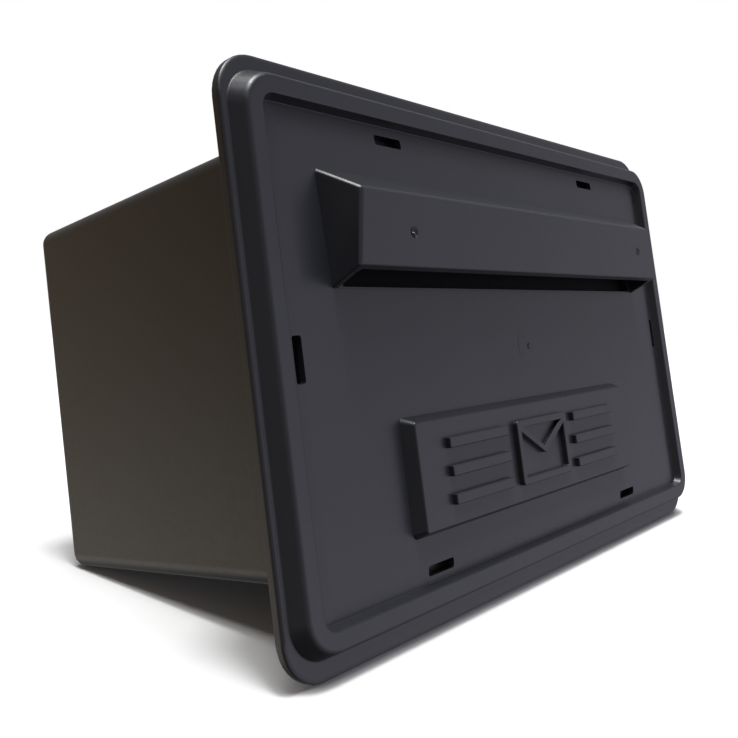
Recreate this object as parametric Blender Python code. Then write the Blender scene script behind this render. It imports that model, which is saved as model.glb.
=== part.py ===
"""Through-wall letter box with its front letter plate, as separate moving pieces.

Metres, +Z up. X runs across the plate, Y runs from the street side (-Y) to the inner side (+Y).
Every piece is placed from the plate's own datum: the flange's front plane, at the plate's centre.
An empty carries that datum so that the whole assembly's box is centred on the origin.
"""
import math

import bmesh
import bpy
from mathutils import Matrix, Vector

# ---- driving dimensions (metres) -------------------------------------------------------------
FIT_GAP = 0.0003            # gap kept between neighbouring pieces
PAST = 0.001                # how far a cutter runs past the face it cuts
ROOT = 0.0008               # how deep a rib, ear or hook is rooted in the wall that carries it
CLOSE_POINTS = 1e-6         # points nearer than this are one point

PLATE_HALF = (0.125, 0.080)     # half width and half height of the flange
PLATE_CORNER = 0.013
FLANGE_THICK = 0.003
SIDE_BORDER = 0.0036            # flange that shows beside the raised rim
TOP_BORDER = 0.0055
BOTTOM_BORDER = 0.0065
RIM_HEIGHT = 0.005
RIM_DRAFT = 0.001
RIM_WIDTH = 0.0051
RIM_CORNER = 0.010
RECESS_WALL_DRAFT = 0.002
RECESS_CORNER = (0.0035, 0.0020)    # at the rim and at the panel
PANEL_Y = -0.0028               # front face of the sunk panel
PANEL_THICK = 0.0022
TRAY_HALF = (0.1180, 0.0718)    # hollow behind the plate that takes the box's flange
TRAY_CORNER = 0.007
RIM_CENTRE = (0.0, (BOTTOM_BORDER - TOP_BORDER) / 2)

HOOD_BASE_HALF = 0.0957
HOOD_BASE_Z = (0.0186, 0.0503)
HOOD_TOP_HALF = 0.0926
HOOD_BOTTOM_HALF = 0.0958
HOOD_FACE_Z = (0.0234, 0.0435)
HOOD_TOP_REACH = 0.0120         # how far the hood's face stands off the panel, at its top
HOOD_BOTTOM_REACH = 0.0110
HOOD_WALL = 0.0020
HOOD_DROP = 0.0080              # how far the hollow runs on below the hood's face
SLOT_HALF = 0.0915
SLOT_Z = (0.0188, 0.0462)

PLAQUE_CENTRE = (-0.0060, -0.0358)
PLAQUE_HALF = (0.0690, 0.0172)
PLAQUE_HEIGHT = 0.0043
PLAQUE_DRAFT = 0.0017
PLAQUE_CORNER = (0.002, 0.001)  # at the panel and at the plaque's face
PLAQUE_WALL = 0.0020
RELIEF_HEIGHT = 0.0018
RELIEF_ROOT = 0.0006
ENVELOPE_HALF = (0.0165, 0.0105)
ENVELOPE_LINE = 0.0024
ENVELOPE_CORNER = (0.0015, 0.0006)  # outside and inside
FOLD_LINE = 0.8 * ENVELOPE_LINE
FOLD_DROP = 0.0010              # from the plaque's centre down to where the folds meet
BAR_HALF = (0.0160, 0.0016)
BAR_PITCH = 0.0082
BAR_OFFSET = 0.0380

WINDOW_LONG = 0.0124
WINDOW_SHORT = 0.0030
WINDOW_X = 0.0635               # across, of the four upper and lower windows
WINDOW_Z = 0.0627               # up, of the four upper and lower windows
WINDOW_SIDE_X = 0.1111          # across, of the two side windows
HOOK_WIDTH = 0.0110
HOOK_THICK = 0.0018
HOOK_REACH = 0.0052             # how far a hook stands behind the flange's front plane
HOOK_OFFSET = 0.0033            # from a window's centre out to its hook's finger
BARB_OFFSET = 0.0003            # from a window's centre out to the tip of its hook's barb
BARB_ROOT = 0.0006
BARB_STEP = 0.0005              # how much narrower a barb is than its hook, at each end

BOX_FLANGE_HALF = (0.1176, 0.0714)
BOX_FLANGE_CORNER = 0.0066
BOX_FLANGE_Y = (-0.0003, 0.0023)
BOX_HALF = (0.1068, 0.0613)     # outside of the box where it leaves its flange
BOX_CENTRE = (0.0, 0.0012)
BOX_CORNER = 0.005
BOX_WALL = 0.0025
BOX_DEPTH = 0.1275              # back face of the box
BOX_DRAFT = math.radians(0.75)
BOX_BACK_RADIUS = 0.004
POCKET_DEPTH = 0.0020           # blind pocket in the box's flange behind each window
HOOK_SLOT_SIDE = 0.0008         # play beside a hook in its slot
HOOK_SLOT_LONG = 0.0030         # how far an upper or lower hook's slot runs outwards
SIDE_SLOT_END = 0.0100          # where a side hook's slot ends, past the flange's own edge

FLAP_AXIS = (0.0027, 0.0522)    # y, z
FLAP_HALF = 0.0950
FLAP_THICK = 0.0018
FLAP_FRONT_Y = -0.0003
FLAP_LOW_Z = 0.0156
FLAP_BARREL = 0.0029
FLAP_TOP_DROP = 0.0006          # the leaf ends this far below its axis, inside the barrel
FLAP_LIP = (0.0016, 0.0016)     # how far the lower lip stands off the leaf, and its height
NOTCH_DROP = 0.0008             # room below the barrel for a spring
ROD_RADIUS = 0.00125
ROD_HALF = 0.1012
LUG_X = (0.0965, 0.0993)
LUG_RADIUS = 0.0030
LUG_FOOT = 0.0034               # from the rod's axis down to the lug's foot
RING_THICK = 0.0010             # rod caps and pin clips
CAP_RADIUS = 0.0027
SPRING_CENTRE = 0.0450
SPRING_GAP_HALF = 0.0070
SPRING_COIL = 0.0023
SPRING_WIRE = 0.00035
SPRING_TURNS = 5.5
SPRING_PITCH = 0.00085
SPRING_STEPS = 12               # points on one turn
SPRING_UPPER_LEG = 0.0045
SPRING_LOWER_LEG = 0.0080
SPRING_SPLAY = 0.0001           # sideways step between two points of a leg

DOOR_HALF = 0.0880
DOOR_Z = (-0.0490, 0.0480)
DOOR_THICK = 0.0025
DOOR_CORNER = 0.006
OPENING_HALF = 0.0820
OPENING_Z = (-0.0430, 0.0420)
OPENING_CORNER = 0.005
DOOR_LIP_DEPTH = 0.0040
DOOR_LIP_THICK = 0.0020
DOOR_LIP_PLAY = 0.0006          # between the door's lip and the opening
DOOR_AXIS = (BOX_DEPTH + 0.0040, 0.0525)    # y, z
KNUCKLE_RADIUS = 0.0030
KNUCKLE_CENTRE = 0.0600
KNUCKLE_HALF = 0.0080
WEB_FRONT = 0.0028              # from the hinge axis to the front of the knuckle's web
WEB_ROOT = 0.0010
PIN_RADIUS = 0.0015
PIN_HEAD = (0.0026, 0.0012)     # radius and thickness
PIN_TAIL = 0.0020               # how far a pin stands out past its inner ear
CLIP_RADIUS = 0.0028
DOOR_LUG_THICK = 0.0045
DOOR_LUG_ROOT = 0.0015

LATCH_Z = -0.0350
KNOB_RADIUS = 0.0110
KNOB_DISC = 0.0030
GRIP_HALF = (0.0100, 0.0028)
GRIP_HEIGHT = 0.0090
GRIP_DRAFT = (0.0006, 0.0005)
GRIP_CORNER = (0.0026, 0.0022)  # at the disc and at the top
SHAFT_RADIUS = 0.0046
SHAFT_PLAY = 0.0004
SQUARE_HALF = 0.0030
SCREW_BORE = (0.0018, 0.0070)   # radius, and depth past the square's shoulder
CAM_GAP = 0.0005                # between the cam and the door's lip
CAM_THICK = 0.0025
CAM_LENGTH = 0.0140
CAM_HALF_WIDTH = 0.0055
CAM_NOSE = 0.0030               # length of the nose's rounded end
CAM_TAPER = 0.0005
WASHER_THICK = 0.0008
WASHER_RADII = (0.0045, 0.0018)
SPRING_WASHER_THICK = 0.0005
SPRING_WASHER_RADII = (0.0080, 0.0051)
SCREW_HEAD = 0.0024             # height of the pan head
SCREW_PROFILE = ((0.0, 0.0022), (0.0006, 0.0032), (0.0014, 0.0036), (SCREW_HEAD, 0.0036))
THREAD_RADIUS = 0.0014
THREAD_DEPTH = 0.0050           # past the square's shoulder
RECESS_ARM = (0.0018, 0.0004)   # half length and half width of one arm of the cross
RECESS_DEPTH = 0.0012

BACK_INNER_Y = BOX_DEPTH - BOX_WALL
DOOR_FRONT_Y = BOX_DEPTH + FIT_GAP
DOOR_BACK_Y = DOOR_FRONT_Y + DOOR_THICK
WASHER_Y = (DOOR_BACK_Y + FIT_GAP, DOOR_BACK_Y + FIT_GAP + SPRING_WASHER_THICK)
KNOB_Y = WASHER_Y[1] + FIT_GAP
KNOB_END_Y = KNOB_Y + KNOB_DISC + GRIP_HEIGHT
DATUM_Y = -(PANEL_Y - HOOD_TOP_REACH + KNOB_END_Y) / 2


# ---- scene and materials ---------------------------------------------------------------------
def clear_scene():
    for obj in list(bpy.data.objects):
        bpy.data.objects.remove(obj, do_unlink=True)


def make_material(name, colour, roughness, metallic=0.0):
    material = bpy.data.materials.new(name)
    material.use_nodes = True
    shader = material.node_tree.nodes["Principled BSDF"]
    shader.inputs["Base Color"].default_value = (*colour, 1.0)
    shader.inputs["Roughness"].default_value = roughness
    shader.inputs["Metallic"].default_value = metallic
    return material


def make_empty(name, location, parent=None):
    empty = bpy.data.objects.new(name, None)
    bpy.context.scene.collection.objects.link(empty)
    empty.location = location
    empty.parent = parent
    return empty


# ---- mesh helpers ----------------------------------------------------------------------------
def object_from_bmesh(name, bm):
    bmesh.ops.recalc_face_normals(bm, faces=bm.faces)
    mesh = bpy.data.meshes.new(name)
    bm.to_mesh(mesh)
    bm.free()
    obj = bpy.data.objects.new(name, mesh)
    bpy.context.scene.collection.objects.link(obj)
    return obj


def loft(name, sections):
    """A closed solid through point loops of equal length, with flat ends."""
    bm = bmesh.new()
    loops = [[bm.verts.new(point) for point in section] for section in sections]
    for low, high in zip(loops, loops[1:]):
        for i in range(len(low)):
            j = (i + 1) % len(low)
            bm.faces.new((low[i], low[j], high[j], high[i]))
    bm.faces.new(loops[0])
    bm.faces.new(loops[-1])
    return object_from_bmesh(name, bm)


def rounded_rect(half_x, half_z, radius, y, centre=(0.0, 0.0), steps=4):
    """Corners as arcs, in the plane at depth y."""
    points = []
    for quarter, (sx, sz) in enumerate(((1, 1), (-1, 1), (-1, -1), (1, -1))):
        cx = centre[0] + sx * (half_x - radius)
        cz = centre[1] + sz * (half_z - radius)
        for step in range(steps + 1):
            angle = math.pi / 2 * (quarter + step / steps)
            points.append(Vector((cx + radius * math.cos(angle), y, cz + radius * math.sin(angle))))
    return points


def plate_prism(name, half, radius, y_range, centre=(0.0, 0.0), steps=4):
    return loft(name, [rounded_rect(half[0], half[1], radius, y, centre, steps) for y in y_range])


def box(name, low, high):
    corners = [(low[0], low[2]), (high[0], low[2]), (high[0], high[2]), (low[0], high[2])]
    return loft(name, [[Vector((x, y, z)) for x, z in corners] for y in (low[1], high[1])])


def profile_along_x(name, outline, x_range):
    """An outline of (y, z) points swept along X."""
    return loft(name, [[Vector((x, y, z)) for y, z in outline] for x in x_range])


def circle(centre, radius, sides, start=0.0):
    return [(centre[0] + radius * math.cos(start + 2 * math.pi * i / sides),
             centre[1] + radius * math.sin(start + 2 * math.pi * i / sides)) for i in range(sides)]


def rod_along_x(name, centre, radius, x_range, sides=16):
    return profile_along_x(name, circle(centre, radius, sides), x_range)


def rod_along_y(name, centre, radius, y_range, sides=24):
    ring = circle(centre, radius, sides)
    return loft(name, [[Vector((x, y, z)) for x, z in ring] for y in y_range])


def combine(target, tool, operation):
    """Boolean the tool into the target, keep the result as plain mesh and drop the tool."""
    modifier = target.modifiers.new(operation.lower(), "BOOLEAN")
    modifier.operation = operation
    modifier.solver = "EXACT"
    modifier.object = tool
    bpy.context.view_layer.update()
    evaluated = target.evaluated_get(bpy.context.evaluated_depsgraph_get())
    result = bpy.data.meshes.new_from_object(evaluated)
    target.modifiers.clear()
    target.data = result
    bpy.data.objects.remove(tool, do_unlink=True)


def fuse(target, *tools):
    for tool in tools:
        combine(target, tool, "UNION")


def cut(target, *tools):
    for tool in tools:
        combine(target, tool, "DIFFERENCE")


def finish(obj, material, parent):
    """Name the material, smooth the round faces and hang the piece on its pivot."""
    obj.data.materials.clear()
    obj.data.materials.append(material)
    for polygon in obj.data.polygons:
        polygon.material_index = 0
    obj.data.transform(Matrix.Translation(-local_origin(parent)))
    obj.data.shade_smooth()
    obj.data.set_sharp_from_angle(angle=math.radians(35))
    obj.parent = parent
    return obj


def local_origin(empty):
    """Where an empty sits, counted from the plate's datum."""
    place = Vector((0.0, 0.0, 0.0))
    while empty.parent is not None:
        place += empty.location
        empty = empty.parent
    return place


# ---- front plate -----------------------------------------------------------------------------
def rim_half(inset):
    half_z = PLATE_HALF[1] - (TOP_BORDER + BOTTOM_BORDER) / 2
    return (PLATE_HALF[0] - SIDE_BORDER - inset, half_z - inset)


def plate_shell():
    """Flange, raised rim and sunk panel, hollow behind for the box's flange."""
    shell = plate_prism("front_plate", PLATE_HALF, PLATE_CORNER, (0.0, FLANGE_THICK))
    rim = loft("rim", [
        rounded_rect(*rim_half(0.0), RIM_CORNER, PAST, RIM_CENTRE),
        rounded_rect(*rim_half(0.0), RIM_CORNER, 0.0, RIM_CENTRE),
        rounded_rect(*rim_half(RIM_DRAFT), RIM_CORNER, -RIM_HEIGHT, RIM_CENTRE)])
    inner = RIM_DRAFT + RIM_WIDTH
    slope = RECESS_WALL_DRAFT / (RIM_HEIGHT + PANEL_Y)
    recess = loft("recess", [
        rounded_rect(*rim_half(inner - PAST * slope), RECESS_CORNER[0], -RIM_HEIGHT - PAST, RIM_CENTRE),
        rounded_rect(*rim_half(inner + RECESS_WALL_DRAFT), RECESS_CORNER[1], PANEL_Y, RIM_CENTRE)])
    tray = plate_prism("tray", TRAY_HALF, TRAY_CORNER, (PANEL_Y + PANEL_THICK, FLANGE_THICK + PAST),
                       RIM_CENTRE)
    fuse(shell, rim)
    cut(shell, recess, tray)
    return shell


def hood_section(y_shift, wall):
    """The hood's face: top corners, then bottom corners, moved in by a wall thickness."""
    top_y = PANEL_Y - HOOD_TOP_REACH + y_shift
    bottom_y = PANEL_Y - HOOD_BOTTOM_REACH + y_shift
    top_x = HOOD_TOP_HALF - wall
    bottom_x = HOOD_BOTTOM_HALF - wall
    top_z = HOOD_FACE_Z[1] - wall
    return top_x, bottom_x, top_y, bottom_y, top_z


def hood_shell():
    """The outside of the wedge over the slot."""
    top_x, bottom_x, top_y, bottom_y, top_z = hood_section(0.0, 0.0)
    base_y = PANEL_Y + PAST
    base_x = HOOD_BASE_HALF
    low_z, high_z = HOOD_BASE_Z
    return loft("hood", [
        [Vector((-top_x, top_y, top_z)), Vector((top_x, top_y, top_z)),
         Vector((bottom_x, bottom_y, HOOD_FACE_Z[0])), Vector((-bottom_x, bottom_y, HOOD_FACE_Z[0]))],
        [Vector((-base_x, base_y, high_z)), Vector((base_x, base_y, high_z)),
         Vector((base_x, base_y, low_z)), Vector((-base_x, base_y, low_z))]])


def hood_hollow():
    """The space inside the hood, run on through its open underside."""
    top_x, bottom_x, top_y, bottom_y, top_z = hood_section(HOOD_WALL, HOOD_WALL)
    inner_base = HOOD_BASE_HALF - HOOD_WALL
    lean = (bottom_y - top_y) / (HOOD_FACE_Z[1] - HOOD_FACE_Z[0])
    low_z = HOOD_FACE_Z[0] - HOOD_DROP
    low_y = bottom_y + lean * HOOD_DROP
    back_y = PANEL_Y - FIT_GAP / 3
    slant = 1.3     # the top wall leans, so it cuts the panel's plane further down than its thickness
    high_z = HOOD_BASE_Z[1] - HOOD_WALL * slant
    return loft("hood_hollow", [
        [Vector((-top_x, top_y, top_z)), Vector((top_x, top_y, top_z)),
         Vector((bottom_x, low_y, low_z)), Vector((-bottom_x, low_y, low_z))],
        [Vector((-inner_base, back_y, high_z)), Vector((inner_base, back_y, high_z)),
         Vector((inner_base, back_y, low_z)), Vector((-inner_base, back_y, low_z))]])


def plaque_block():
    """The raised plaque, hollow behind like the rest of the moulding."""
    centre = PLAQUE_CENTRE
    face = (PLAQUE_HALF[0] - PLAQUE_DRAFT, PLAQUE_HALF[1] - PLAQUE_DRAFT)
    return loft("plaque", [
        rounded_rect(*PLAQUE_HALF, PLAQUE_CORNER[0], PANEL_Y + PAST, centre, 2),
        rounded_rect(*PLAQUE_HALF, PLAQUE_CORNER[0], PANEL_Y, centre, 2),
        rounded_rect(*face, PLAQUE_CORNER[1], PANEL_Y - PLAQUE_HEIGHT, centre, 2)])


def plaque_hollow():
    centre = PLAQUE_CENTRE
    back = (PLAQUE_HALF[0] - PLAQUE_WALL, PLAQUE_HALF[1] - PLAQUE_WALL)
    front = (back[0] - PLAQUE_DRAFT, back[1] - PLAQUE_DRAFT)
    return loft("plaque_hollow", [
        rounded_rect(*back, PLAQUE_CORNER[1], PANEL_Y + PANEL_THICK + PAST, centre, 2),
        rounded_rect(*front, PLAQUE_CORNER[1], PANEL_Y - PLAQUE_HEIGHT + PANEL_THICK, centre, 2)])


def relief_stroke(name, start, end, width):
    """One straight raised line on the plaque's face, from start to end in X and Z."""
    face_y = PANEL_Y - PLAQUE_HEIGHT
    along = Vector((end[0] - start[0], 0.0, end[1] - start[1])).normalized()
    across = Vector((-along.z, 0.0, along.x)) * width / 2
    first = Vector((start[0], 0.0, start[1]))
    last = Vector((end[0], 0.0, end[1]))
    outline = [first - across, last - across, last + across, first + across]
    return loft(name, [[point + Vector((0.0, y, 0.0)) for point in outline]
                       for y in (face_y - RELIEF_HEIGHT, face_y + RELIEF_ROOT)])


def envelope_relief():
    """A plain envelope sign: a frame with the flap's two folds."""
    cx, cz = PLAQUE_CENTRE
    hx, hz = ENVELOPE_HALF
    line = ENVELOPE_LINE
    face_y = PANEL_Y - PLAQUE_HEIGHT
    depth = (face_y - RELIEF_HEIGHT, face_y + RELIEF_ROOT)
    frame = plate_prism("envelope", (hx, hz), ENVELOPE_CORNER[0], depth, (cx, cz), 2)
    cut(frame, plate_prism("envelope_inside", (hx - line, hz - line), ENVELOPE_CORNER[1],
                           (depth[0] - PAST, depth[1] + PAST), (cx, cz), 2))
    crossing = line / 4     # each fold runs a little past the middle, so the two fuse
    folds = [relief_stroke("fold", (cx + side * (hx - line / 2), cz + hz - FOLD_LINE),
                           (cx - side * crossing, cz - FOLD_DROP), FOLD_LINE) for side in (-1, 1)]
    fuse(frame, *folds)
    return frame


def bar_reliefs():
    """Three plain bars on each side of the envelope."""
    cx, cz = PLAQUE_CENTRE
    bars = []
    for side in (-1, 1):
        for row in (-1, 0, 1):
            z = cz + row * BAR_PITCH
            x = cx + side * BAR_OFFSET
            bars.append(relief_stroke("bar", (x - BAR_HALF[0], z), (x + BAR_HALF[0], z), 2 * BAR_HALF[1]))
    return bars


def window_places():
    """Centre, the direction out to the nearest edge, of each window and its hook."""
    places = [(sx * WINDOW_X, sz * WINDOW_Z, 0, sz) for sx in (-1, 1) for sz in (-1, 1)]
    places += [(sx * WINDOW_SIDE_X, 0.0, sx, 0) for sx in (-1, 1)]
    return places


def window_box(name, place, long_half, out_range, y_range):
    """A box at a window: long_half along the edge, out_range counted outwards from its centre."""
    x, z, out_x, out_z = place
    if out_x:
        xs = sorted((x + out_x * out_range[0], x + out_x * out_range[1]))
        return box(name, (xs[0], y_range[0], z - long_half), (xs[1], y_range[1], z + long_half))
    zs = sorted((z + out_z * out_range[0], z + out_z * out_range[1]))
    return box(name, (x - long_half, y_range[0], zs[0]), (x + long_half, y_range[1], zs[1]))


def snap_hook(place):
    """A finger behind the panel with a barb that grips the back of the box's flange."""
    root_y = PANEL_Y + PANEL_THICK - ROOT
    finger = window_box("hook", place, HOOK_WIDTH / 2, (HOOK_OFFSET, HOOK_OFFSET + HOOK_THICK),
                        (root_y, HOOK_REACH))
    barb = window_box("barb", place, HOOK_WIDTH / 2 - BARB_STEP, (BARB_OFFSET, HOOK_OFFSET + BARB_ROOT),
                      (BOX_FLANGE_Y[1] + FIT_GAP, HOOK_REACH - FIT_GAP))
    fuse(finger, barb)
    return finger


def flap_lug(side):
    """An ear behind the panel that carries one end of the flap's rod."""
    xs = sorted((side * LUG_X[0], side * LUG_X[1]))
    top = FLAP_AXIS[1] + LUG_RADIUS
    low = FLAP_AXIS[1] - LUG_FOOT
    root_y = PANEL_Y + PANEL_THICK - ROOT
    nose = [(FLAP_AXIS[0] + LUG_RADIUS * math.cos(a), FLAP_AXIS[1] + LUG_RADIUS * math.sin(a))
            for a in (math.pi / 2, math.pi / 4, 0.0, -math.pi / 4)]
    lug = profile_along_x("lug", [(root_y, top)] + nose + [(root_y, low)], xs)
    bore = rod_along_x("lug_bore", FLAP_AXIS, ROD_RADIUS + FIT_GAP, (xs[0] - PAST, xs[1] + PAST))
    cut(lug, bore)
    return lug


def front_plate(material, parent):
    plate = plate_shell()
    fuse(plate, hood_shell())
    cut(plate, hood_hollow())
    slot_y = (PANEL_Y - ROOT, PANEL_Y + PANEL_THICK + PAST)
    cut(plate, box("slot", (-SLOT_HALF, slot_y[0], SLOT_Z[0]), (SLOT_HALF, slot_y[1], SLOT_Z[1])))
    fuse(plate, plaque_block())
    cut(plate, plaque_hollow())
    fuse(plate, envelope_relief(), *bar_reliefs())
    window_y = (PANEL_Y - PAST, PANEL_Y + PANEL_THICK + PAST)
    for place in window_places():
        cut(plate, window_box("window", place, WINDOW_LONG / 2,
                              (-WINDOW_SHORT / 2, WINDOW_SHORT / 2), window_y))
        fuse(plate, snap_hook(place))
    fuse(plate, flap_lug(-1), flap_lug(1))
    return finish(plate, material, parent)


# ---- box -------------------------------------------------------------------------------------
def tub_sections(inset, y_front, y_back, back_radius, steps=4):
    """Drafted walls that run into a rounded back edge."""
    def half_at(y):
        pull = inset + (y - BOX_FLANGE_Y[1]) * math.tan(BOX_DRAFT)
        return BOX_HALF[0] - pull, BOX_HALF[1] - pull

    corner = BOX_CORNER - inset
    sections = [rounded_rect(*half_at(y_front), corner, y_front, BOX_CENTRE)]
    turn_y = y_back - back_radius
    for step in range(steps + 1):
        angle = math.pi / 2 * step / steps
        y = turn_y + back_radius * math.sin(angle)
        pulled = back_radius * (1 - math.cos(angle))
        half_x, half_z = half_at(turn_y)
        sections.append(rounded_rect(half_x - pulled, half_z - pulled, corner - pulled, y, BOX_CENTRE))
    return sections


def door_lug(x_range):
    """An ear on the back wall that holds a hinge pin."""
    y, z = DOOR_AXIS
    nose = [(y + KNUCKLE_RADIUS * math.cos(a), z + KNUCKLE_RADIUS * math.sin(a))
            for a in [math.radians(angle) for angle in (-90, -45, 0, 45, 90)]]
    root_y = BOX_DEPTH - DOOR_LUG_ROOT
    outline = [(root_y, z - KNUCKLE_RADIUS)] + nose + [(root_y, z + KNUCKLE_RADIUS)]
    lug = profile_along_x("door_lug", outline, x_range)
    cut(lug, rod_along_x("pin_bore", DOOR_AXIS, PIN_RADIUS + FIT_GAP,
                         (x_range[0] - PAST, x_range[1] + PAST)))
    return lug


def box_body(material, parent):
    body = loft("box_body", tub_sections(0.0, PAST, BOX_DEPTH, BOX_BACK_RADIUS))
    flange = plate_prism("box_flange", BOX_FLANGE_HALF, BOX_FLANGE_CORNER, BOX_FLANGE_Y, RIM_CENTRE)
    fuse(body, flange)
    cut(body, loft("box_hollow", tub_sections(BOX_WALL, BOX_FLANGE_Y[0] - PAST, BACK_INNER_Y,
                                              BOX_BACK_RADIUS - BOX_WALL)))
    centre_z = (OPENING_Z[0] + OPENING_Z[1]) / 2
    half_z = (OPENING_Z[1] - OPENING_Z[0]) / 2
    cut(body, plate_prism("door_opening", (OPENING_HALF, half_z), OPENING_CORNER,
                          (BACK_INNER_Y - PAST, BOX_DEPTH + PAST), (0.0, centre_z)))
    grip_edge = HOOK_OFFSET - FIT_GAP
    for place in window_places():
        reach_out = SIDE_SLOT_END if place[2] else grip_edge + HOOK_SLOT_LONG
        cut(body, window_box("hook_slot", place, HOOK_WIDTH / 2 + HOOK_SLOT_SIDE, (grip_edge, reach_out),
                             (BOX_FLANGE_Y[0] - PAST, BOX_FLANGE_Y[1] + PAST / 2)))
        cut(body, window_box("pocket", place, WINDOW_LONG / 2 + FIT_GAP,
                             (-WINDOW_SHORT / 2 - FIT_GAP, WINDOW_SHORT / 2 + FIT_GAP),
                             (BOX_FLANGE_Y[0] - PAST, BOX_FLANGE_Y[0] + POCKET_DEPTH)))
    for side in (-1, 1):
        for inner_outer in (-1, 1):
            near = KNUCKLE_HALF + FIT_GAP
            edge = side * KNUCKLE_CENTRE + inner_outer * near
            far = edge + inner_outer * DOOR_LUG_THICK
            fuse(body, door_lug(sorted((edge, far))))
    return finish(body, material, parent)


# ---- mail flap -------------------------------------------------------------------------------
def mail_flap(material, parent):
    """A leaf that hangs behind the slot, on barrel lengths that leave room for two springs."""
    y, z = FLAP_AXIS
    leaf_top = z - FLAP_TOP_DROP
    back_y = FLAP_FRONT_Y + FLAP_THICK
    outline = [(FLAP_FRONT_Y, FLAP_LOW_Z), (back_y, FLAP_LOW_Z), (back_y, leaf_top), (FLAP_FRONT_Y, leaf_top)]
    flap = profile_along_x("mail_flap", outline, (-FLAP_HALF, FLAP_HALF))
    notch_low = z - FLAP_BARREL - NOTCH_DROP
    for side in (-1, 1):
        x = side * SPRING_CENTRE
        cut(flap, box("spring_notch", (x - SPRING_GAP_HALF, FLAP_FRONT_Y - PAST, notch_low),
                      (x + SPRING_GAP_HALF, back_y + PAST, z + PAST)))
    inner = SPRING_CENTRE - SPRING_GAP_HALF
    outer = SPRING_CENTRE + SPRING_GAP_HALF
    for x_range in ((-FLAP_HALF, -outer), (-inner, inner), (outer, FLAP_HALF)):
        fuse(flap, rod_along_x("barrel", FLAP_AXIS, FLAP_BARREL, x_range))
    lip_end = FLAP_HALF - PAST
    fuse(flap, box("lower_lip", (-lip_end, back_y - ROOT / 2, FLAP_LOW_Z),
                   (lip_end, back_y + FLAP_LIP[0], FLAP_LOW_Z + FLAP_LIP[1])))
    cut(flap, rod_along_x("flap_bore", FLAP_AXIS, ROD_RADIUS + FIT_GAP,
                          (-FLAP_HALF - PAST, FLAP_HALF + PAST), 12))
    return finish(flap, material, parent)


def flap_rod(material, parent):
    return finish(rod_along_x("flap_rod", FLAP_AXIS, ROD_RADIUS, (-ROD_HALF, ROD_HALF)), material, parent)


def ring_on_rod(name, axis, radius, rod_radius, edges, material, parent):
    """A push-on ring between two places along X."""
    xs = sorted(edges)
    ring = rod_along_x(name, axis, radius, xs)
    cut(ring, rod_along_x("ring_bore", axis, rod_radius + FIT_GAP, (xs[0] - PAST, xs[1] + PAST), 12))
    return finish(ring, material, parent)


def rod_cap(name, side, material, parent):
    """The ring that keeps the rod in, outside each lug."""
    near = side * (LUG_X[1] + FIT_GAP)
    edges = (near, near + side * RING_THICK)
    return ring_on_rod(name, FLAP_AXIS, CAP_RADIUS, ROD_RADIUS, edges, material, parent)


def wire(name, points, radius):
    """A round wire with closed ends along a list of points."""
    curve = bpy.data.curves.new(name, "CURVE")
    curve.dimensions = "3D"
    curve.bevel_depth = radius
    curve.bevel_resolution = 1
    curve.use_fill_caps = True
    spline = curve.splines.new("POLY")
    spline.points.add(len(points) - 1)
    for target, point in zip(spline.points, points):
        target.co = (*point, 1.0)
    obj = bpy.data.objects.new(name, curve)
    bpy.context.scene.collection.objects.link(obj)
    bpy.context.view_layer.update()
    mesh = bpy.data.meshes.new_from_object(obj.evaluated_get(bpy.context.evaluated_depsgraph_get()))
    bpy.data.objects.remove(obj, do_unlink=True)
    bm = bmesh.new()
    bm.from_mesh(mesh)
    bmesh.ops.remove_doubles(bm, verts=bm.verts, dist=CLOSE_POINTS)
    return object_from_bmesh(name, bm)


def flap_spring(name, side, material, parent):
    """A torsion coil round the rod: one leg on the panel above, one on the flap's inner face."""
    y, z = FLAP_AXIS
    start_x = side * SPRING_CENTRE - SPRING_TURNS * SPRING_PITCH / 2
    coil = []
    for i in range(int(SPRING_TURNS * SPRING_STEPS) + 1):
        turn = i / SPRING_STEPS
        angle = math.pi + 2 * math.pi * turn
        coil.append(Vector((start_x + SPRING_PITCH * turn, y + SPRING_COIL * math.cos(angle),
                            z - SPRING_COIL * math.sin(angle))))
    straight = 0.0020       # each leg leaves the coil straight for this long
    upper_leg = [coil[0] + Vector((-2 * SPRING_SPLAY, 0.0, SPRING_UPPER_LEG)),
                 coil[0] + Vector((-SPRING_SPLAY, 0.0, straight))]
    flap_back = FLAP_FRONT_Y + FLAP_THICK + SPRING_WIRE + FIT_GAP
    lower_leg = [Vector((coil[-1].x + SPRING_SPLAY, coil[-1].y, z - straight)),
                 Vector((coil[-1].x + 3 * SPRING_SPLAY, flap_back, z - SPRING_LOWER_LEG))]
    return finish(wire(name, upper_leg + coil + lower_leg, SPRING_WIRE), material, parent)


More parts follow.
